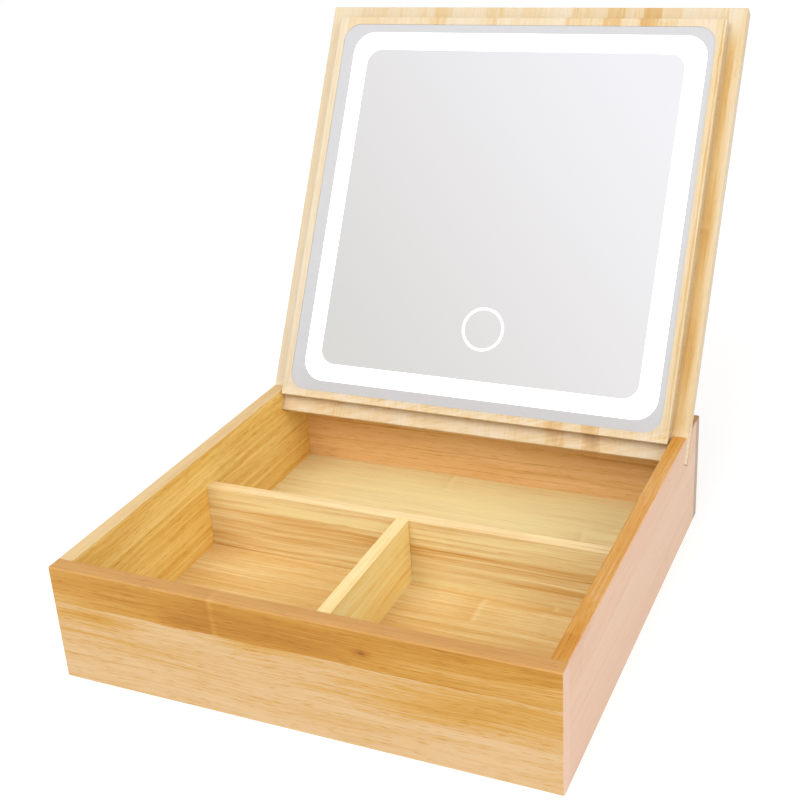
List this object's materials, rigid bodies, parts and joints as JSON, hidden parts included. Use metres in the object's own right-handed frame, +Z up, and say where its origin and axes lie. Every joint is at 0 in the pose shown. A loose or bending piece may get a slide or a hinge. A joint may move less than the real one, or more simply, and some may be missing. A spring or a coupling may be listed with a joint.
{
  "type": "vanity box with mirror",
  "caption": "Square bamboo make-up box with divided inside and a lift-off lid that stands in slanted slots and carries a square lit mirror.",
  "frame": {"origin": "middle of the box's underside, on the bottom panel", "axes": "+Z up; -Y to the front, the side that the mirror faces; +X to the user's right"},
  "size_m": [0.25, 0.3457, 0.2648],
  "materials": {
    "bamboo_box": "satin lacquer",
    "bamboo_panel": "satin lacquer",
    "bamboo_lid": "satin lacquer",
    "bamboo_tongue": "plain",
    "mirror": "silvered, with a frosted band near the edge",
    "black_tape": "matt",
    "white_plastic": "matt, moulded",
    "opal_plastic": "opal, matt",
    "led_strip": "white solder mask",
    "led_phosphor": "yellow gel",
    "zinc_screw": "bright zinc",
    "green_board": "green solder mask",
    "black_chip": "matt, moulded",
    "cream_connector": "matt, moulded",
    "grey_foam": "open foam",
    "battery_foil": "laminated foil",
    "black_plastic": "matt, moulded",
    "black_wire": "satin sleeve",
    "white_wire": "satin sleeve",
    "red_wire": "satin sleeve"
  },
  "bodies": {
    "box": {"front_wall": "bamboo_box", "rear_wall": "bamboo_box", "left_wall": "bamboo_box", "right_wall": "bamboo_box", "corner_tongues": "bamboo_tongue", "bottom_panel": "bamboo_panel", "long_divider": "bamboo_panel", "short_divider": "bamboo_panel"},
    "lid": {"lid_panel": "bamboo_lid", "mirror_glass": "mirror", "glass_tape": "black_tape", "light_tray": "white_plastic", "diffuser_ring": "opal_plastic", "led_strip_top": "led_strip", "led_strip_bottom": "led_strip", "led_strip_left": "led_strip", "led_strip_right": "led_strip", "led_chips": "led_phosphor", "tray_screws": "zinc_screw", "board_screws": "zinc_screw", "driver_board": "green_board", "driver_chips": "black_chip", "driver_connectors": "cream_connector", "battery_pad": "grey_foam", "battery_cell": "battery_foil", "touch_sensor": "green_board", "foam_pads": "grey_foam", "charge_board": "green_board", "usb_shell": "zinc_screw", "usb_tongue": "black_chip", "port_bezel": "black_plastic", "battery_leads": "black_wire", "touch_leads": "white_wire", "led_leads": "red_wire", "charge_leads": "red_wire"}
  },
  "joints": [
    {"name": "lid_lift", "type": "slide", "parent": "box", "child": "lid", "axis": [0, 0.5, 0.866], "range_m": [0, 0.03]}
  ]
}
